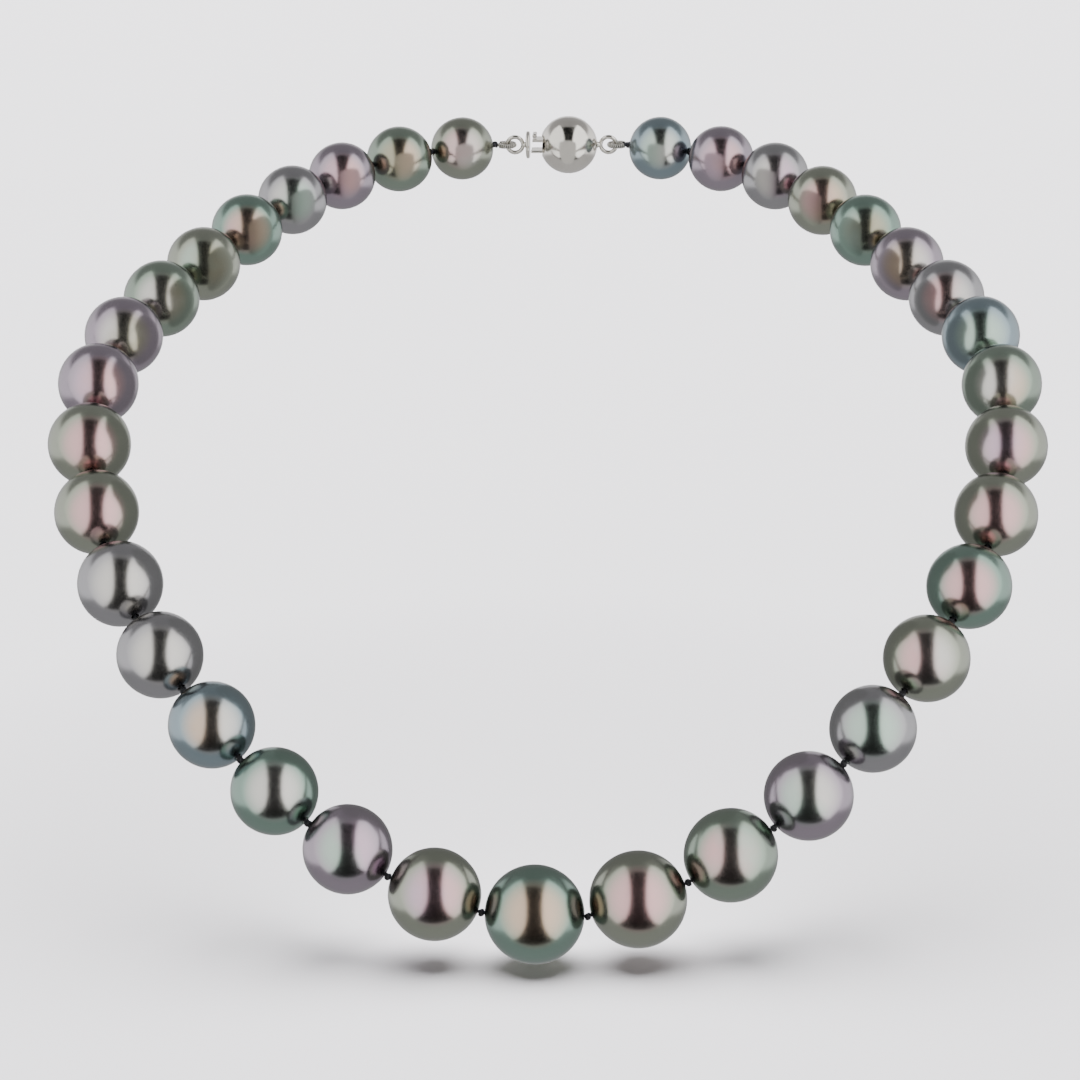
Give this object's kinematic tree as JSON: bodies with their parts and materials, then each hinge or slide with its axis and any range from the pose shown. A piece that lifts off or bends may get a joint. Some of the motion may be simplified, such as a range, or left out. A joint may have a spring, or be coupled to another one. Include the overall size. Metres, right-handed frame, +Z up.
{
  "type": "pearl necklace",
  "caption": "Graduated round dark pearls knotted on silk in a closed loop, draped as worn, with a hollow ball clasp, spring tongue and thumb tab at the nape.",
  "frame": {"origin": "middle of the neck opening, at the height of the clasp", "axes": "+Z up, -Y to the front pearl, +Y to the nape and its clasp, +X to the right as seen from the front"},
  "size_m": [0.1258, 0.1341, 0.0754],
  "materials": {
    "nacre_peacock": "gloss",
    "nacre_rose": "gloss",
    "nacre_mauve": "gloss",
    "nacre_silver": "gloss",
    "nacre_olive": "gloss",
    "nacre_blue": "gloss",
    "silk": "matte",
    "white_gold": "polished",
    "gimp_wire": "satin"
  },
  "bodies": {
    "front": {"pearl_front": "nacre_peacock", "silk_thread": "silk"},
    "right_01": {"pearl_right_01": "nacre_rose"},
    "right_02": {"pearl_right_02": "nacre_olive"},
    "right_03": {"pearl_right_03": "nacre_mauve"},
    "right_04": {"pearl_right_04": "nacre_silver"},
    "right_05": {"pearl_right_05": "nacre_rose"},
    "right_06": {"pearl_right_06": "nacre_peacock"},
    "right_07": {"pearl_right_07": "nacre_rose"},
    "right_08": {"pearl_right_08": "nacre_rose"},
    "right_09": {"pearl_right_09": "nacre_olive"},
    "right_10": {"pearl_right_10": "nacre_blue"},
    "right_11": {"pearl_right_11": "nacre_silver"},
    "right_12": {"pearl_right_12": "nacre_mauve"},
    "right_13": {"pearl_right_13": "nacre_peacock"},
    "right_14": {"pearl_right_14": "nacre_rose"},
    "right_15": {"pearl_right_15": "nacre_silver"},
    "right_16": {"pearl_right_16": "nacre_mauve"},
    "right_17": {"pearl_right_17": "nacre_blue", "gimp_loop_right": "gimp_wire"},
    "left_01": {"pearl_left_01": "nacre_rose"},
    "left_02": {"pearl_left_02": "nacre_mauve"},
    "left_03": {"pearl_left_03": "nacre_peacock"},
    "left_04": {"pearl_left_04": "nacre_blue"},
    "left_05": {"pearl_left_05": "nacre_silver"},
    "left_06": {"pearl_left_06": "nacre_silver"},
    "left_07": {"pearl_left_07": "nacre_rose"},
    "left_08": {"pearl_left_08": "nacre_rose"},
    "left_09": {"pearl_left_09": "nacre_mauve"},
    "left_10": {"pearl_left_10": "nacre_mauve"},
    "left_11": {"pearl_left_11": "nacre_olive"},
    "left_12": {"pearl_left_12": "nacre_rose"},
    "left_13": {"pearl_left_13": "nacre_peacock"},
    "left_14": {"pearl_left_14": "nacre_silver"},
    "left_15": {"pearl_left_15": "nacre_mauve"},
    "left_16": {"pearl_left_16": "nacre_olive"},
    "left_17": {"pearl_left_17": "nacre_rose", "gimp_loop_left": "gimp_wire"},
    "ball": {"clasp_ball": "white_gold", "ball_ring": "white_gold"},
    "tongue": {"tongue_strip": "white_gold", "tongue_cap": "white_gold", "tongue_ring": "white_gold"},
    "leaf": {"spring_leaf": "white_gold", "thumb_tab": "white_gold"}
  },
  "joints": [
    {"name": "strand_open", "type": "hinge", "parent": "front", "child": "right_01", "pos_m": [0.00503, -0.06097, -0.06536], "axis": [0, 0, -1], "range_deg": [0, 11.93], "deforming": ["silk_thread"]},
    {"name": "knot_right_02", "type": "hinge", "parent": "right_01", "child": "right_02", "pos_m": [0.01707, -0.05872, -0.06199], "axis": [0, 0, -1], "range_deg": [0, 10]},
    {"name": "knot_right_03", "type": "hinge", "parent": "right_02", "child": "right_03", "pos_m": [0.0274, -0.05485, -0.05656], "axis": [0, 0, -1], "range_deg": [0, 9.48]},
    {"name": "knot_right_04", "type": "hinge", "parent": "right_03", "child": "right_04", "pos_m": [0.03601, -0.04987, -0.05021], "axis": [0, 0, -1], "range_deg": [0, 9.18]},
    {"name": "knot_right_05", "type": "hinge", "parent": "right_04", "child": "right_05", "pos_m": [0.04333, -0.04392, -0.04345], "axis": [0, 0, -1], "range_deg": [0, 8.84]},
    {"name": "knot_right_06", "type": "hinge", "parent": "right_05", "child": "right_06", "pos_m": [0.04962, -0.03693, -0.03667], "axis": [0, 0, -1], "range_deg": [0, 11.49]},
    {"name": "knot_right_07", "type": "hinge", "parent": "right_06", "child": "right_07", "pos_m": [0.05439, -0.02885, -0.03002], "axis": [0, 0, -1], "range_deg": [0, 13.28]},
    {"name": "knot_right_08", "type": "hinge", "parent": "right_07", "child": "right_08", "pos_m": [0.0572, -0.01985, -0.02361], "axis": [0, 0, -1], "range_deg": [0, 11.49]},
    {"name": "knot_right_09", "type": "hinge", "parent": "right_08", "child": "right_09", "pos_m": [0.05818, -0.01022, -0.01777], "axis": [0, 0, -1], "range_deg": [0, 11.08]},
    {"name": "knot_right_10", "type": "hinge", "parent": "right_09", "child": "right_10", "pos_m": [0.05726, -0.00008, -0.01311], "axis": [0, 0, -1], "range_deg": [0, 12.08]},
    {"name": "knot_right_11", "type": "hinge", "parent": "right_10", "child": "right_11", "pos_m": [0.0541, 0.01008, -0.01031], "axis": [0, 0, -1], "range_deg": [0, 7.92]},
    {"name": "knot_right_12", "type": "hinge", "parent": "right_11", "child": "right_12", "pos_m": [0.04959, 0.01967, -0.00827], "axis": [0, 0, -1], "range_deg": [0, 3.12]},
    {"name": "knot_right_13", "type": "hinge", "parent": "right_12", "child": "right_13", "pos_m": [0.0447, 0.02877, -0.00589], "axis": [0, 0, -1], "range_deg": [0, 2.63]},
    {"name": "knot_right_14", "type": "hinge", "parent": "right_13", "child": "right_14", "pos_m": [0.03945, 0.03755, -0.00352], "axis": [0, 0, -1], "range_deg": [0, 3.49]},
    {"name": "knot_right_15", "type": "hinge", "parent": "right_14", "child": "right_15", "pos_m": [0.03374, 0.04592, -0.00166], "axis": [0, 0, -1], "range_deg": [0, 7.12]},
    {"name": "knot_right_16", "type": "hinge", "parent": "right_15", "child": "right_16", "pos_m": [0.0271, 0.05344, -0.00044], "axis": [0, 0, -1], "range_deg": [0, 11.82]},
    {"name": "knot_right_17", "type": "hinge", "parent": "right_16", "child": "right_17", "pos_m": [0.01919, 0.05935, 0.0002], "axis": [0, 0, -1], "range_deg": [0, 13.5]},
    {"name": "knot_left_01", "type": "hinge", "parent": "front", "child": "left_01", "pos_m": [-0.00777, -0.06066, -0.06489], "axis": [0, 0, 1], "range_deg": [0, 11.33]},
    {"name": "knot_left_02", "type": "hinge", "parent": "left_01", "child": "left_02", "pos_m": [-0.019, -0.05814, -0.06114], "axis": [0, 0, 1], "range_deg": [0, 9.41]},
    {"name": "knot_left_03", "type": "hinge", "parent": "left_02", "child": "left_03", "pos_m": [-0.0287, -0.05421, -0.05571], "axis": [0, 0, 1], "range_deg": [0, 9.25]},
    {"name": "knot_left_04", "type": "hinge", "parent": "left_03", "child": "left_04", "pos_m": [-0.03701, -0.04917, -0.04936], "axis": [0, 0, 1], "range_deg": [0, 9.03]},
    {"name": "knot_left_05", "type": "hinge", "parent": "left_04", "child": "left_05", "pos_m": [-0.04419, -0.04309, -0.04258], "axis": [0, 0, 1], "range_deg": [0, 9]},
    {"name": "knot_left_06", "type": "hinge", "parent": "left_05", "child": "left_06", "pos_m": [-0.05033, -0.03596, -0.0358], "axis": [0, 0, 1], "range_deg": [0, 11.97]},
    {"name": "knot_left_07", "type": "hinge", "parent": "left_06", "child": "left_07", "pos_m": [-0.0549, -0.02766, -0.02911], "axis": [0, 0, 1], "range_deg": [0, 13.33]},
    {"name": "knot_left_08", "type": "hinge", "parent": "left_07", "child": "left_08", "pos_m": [-0.05745, -0.01846, -0.0227], "axis": [0, 0, 1], "range_deg": [0, 11.32]},
    {"name": "knot_left_09", "type": "hinge", "parent": "left_08", "child": "left_09", "pos_m": [-0.05818, -0.00865, -0.01693], "axis": [0, 0, 1], "range_deg": [0, 11.45]},
    {"name": "knot_left_10", "type": "hinge", "parent": "left_09", "child": "left_10", "pos_m": [-0.05687, 0.00167, -0.01251], "axis": [0, 0, 1], "range_deg": [0, 11.9]},
    {"name": "knot_left_11", "type": "hinge", "parent": "left_10", "child": "left_11", "pos_m": [-0.05334, 0.01187, -0.00993], "axis": [0, 0, 1], "range_deg": [0, 6.91]},
    {"name": "knot_left_12", "type": "hinge", "parent": "left_11", "child": "left_12", "pos_m": [-0.04866, 0.02148, -0.00783], "axis": [0, 0, 1], "range_deg": [0, 2.81]},
    {"name": "knot_left_13", "type": "hinge", "parent": "left_12", "child": "left_13", "pos_m": [-0.04365, 0.03061, -0.00538], "axis": [0, 0, 1], "range_deg": [0, 2.73]},
    {"name": "knot_left_14", "type": "hinge", "parent": "left_13", "child": "left_14", "pos_m": [-0.0383, 0.03935, -0.00308], "axis": [0, 0, 1], "range_deg": [0, 3.98]},
    {"name": "knot_left_15", "type": "hinge", "parent": "left_14", "child": "left_15", "pos_m": [-0.03241, 0.04763, -0.00135], "axis": [0, 0, 1], "range_deg": [0, 8.22]},
    {"name": "knot_left_16", "type": "hinge", "parent": "left_15", "child": "left_16", "pos_m": [-0.02548, 0.05489, -0.00026], "axis": [0, 0, 1], "range_deg": [0, 12.6]},
    {"name": "knot_left_17", "type": "hinge", "parent": "left_16", "child": "left_17", "pos_m": [-0.01727, 0.06039, 0.00029], "axis": [0, 0, 1], "range_deg": [0, 13.59]},
    {"name": "ball_link", "type": "hinge", "parent": "right_17", "child": "ball", "pos_m": [0.00818, 0.06321, 0.00045], "axis": [0, 0, -1], "range_deg": [0, 21.59]},
    {"name": "tongue_link", "type": "hinge", "parent": "left_17", "child": "tongue", "pos_m": [-0.00606, 0.06365, 0.00047], "axis": [0, 0, 1], "range_deg": [0, 22]},
    {"name": "tab_press", "type": "hinge", "parent": "tongue", "child": "leaf", "pos_m": [0.00381, 0.06335, 0.00026], "axis": [-0.0303, -0.9995, 0], "range_deg": [0, 8], "stiffness_Nm_per_rad": 0.002}
  ],
  "couplings": [
    {"joint": "knot_right_02", "follows": "strand_open", "ratio": 0.8359},
    {"joint": "knot_right_03", "follows": "strand_open", "ratio": 0.7924},
    {"joint": "knot_right_04", "follows": "strand_open", "ratio": 0.7669},
    {"joint": "knot_right_05", "follows": "strand_open", "ratio": 0.7384},
    {"joint": "knot_right_06", "follows": "strand_open", "ratio": 0.961},
    {"joint": "knot_right_07", "follows": "strand_open", "ratio": 1.1111},
    {"joint": "knot_right_08", "follows": "strand_open", "ratio": 0.9603},
    {"joint": "knot_right_09", "follows": "strand_open", "ratio": 0.9264},
    {"joint": "knot_right_10", "follows": "strand_open", "ratio": 1.0104},
    {"joint": "knot_right_11", "follows": "strand_open", "ratio": 0.6617},
    {"joint": "knot_right_12", "follows": "strand_open", "ratio": 0.2597},
    {"joint": "knot_right_13", "follows": "strand_open", "ratio": 0.218},
    {"joint": "knot_right_14", "follows": "strand_open", "ratio": 0.29},
    {"joint": "knot_right_15", "follows": "strand_open", "ratio": 0.5946},
    {"joint": "knot_right_16", "follows": "strand_open", "ratio": 0.9882},
    {"joint": "knot_right_17", "follows": "strand_open", "ratio": 1.1294},
    {"joint": "knot_left_01", "follows": "strand_open", "ratio": 0.9469},
    {"joint": "knot_left_02", "follows": "strand_open", "ratio": 0.786},
    {"joint": "knot_left_03", "follows": "strand_open", "ratio": 0.7726},
    {"joint": "knot_left_04", "follows": "strand_open", "ratio": 0.7543},
    {"joint": "knot_left_05", "follows": "strand_open", "ratio": 0.7517},
    {"joint": "knot_left_06", "follows": "strand_open", "ratio": 1.0008},
    {"joint": "knot_left_07", "follows": "strand_open", "ratio": 1.1153},
    {"joint": "knot_left_08", "follows": "strand_open", "ratio": 0.9465},
    {"joint": "knot_left_09", "follows": "strand_open", "ratio": 0.9577},
    {"joint": "knot_left_10", "follows": "strand_open", "ratio": 0.9951},
    {"joint": "knot_left_11", "follows": "strand_open", "ratio": 0.577},
    {"joint": "knot_left_12", "follows": "strand_open", "ratio": 0.2337},
    {"joint": "knot_left_13", "follows": "strand_open", "ratio": 0.2268},
    {"joint": "knot_left_14", "follows": "strand_open", "ratio": 0.3315},
    {"joint": "knot_left_15", "follows": "strand_open", "ratio": 0.687},
    {"joint": "knot_left_16", "follows": "strand_open", "ratio": 1.054},
    {"joint": "knot_left_17", "follows": "strand_open", "ratio": 1.1365},
    {"joint": "ball_link", "follows": "strand_open", "ratio": 1.8074},
    {"joint": "tongue_link", "follows": "strand_open", "ratio": 1.841}
  ]
}
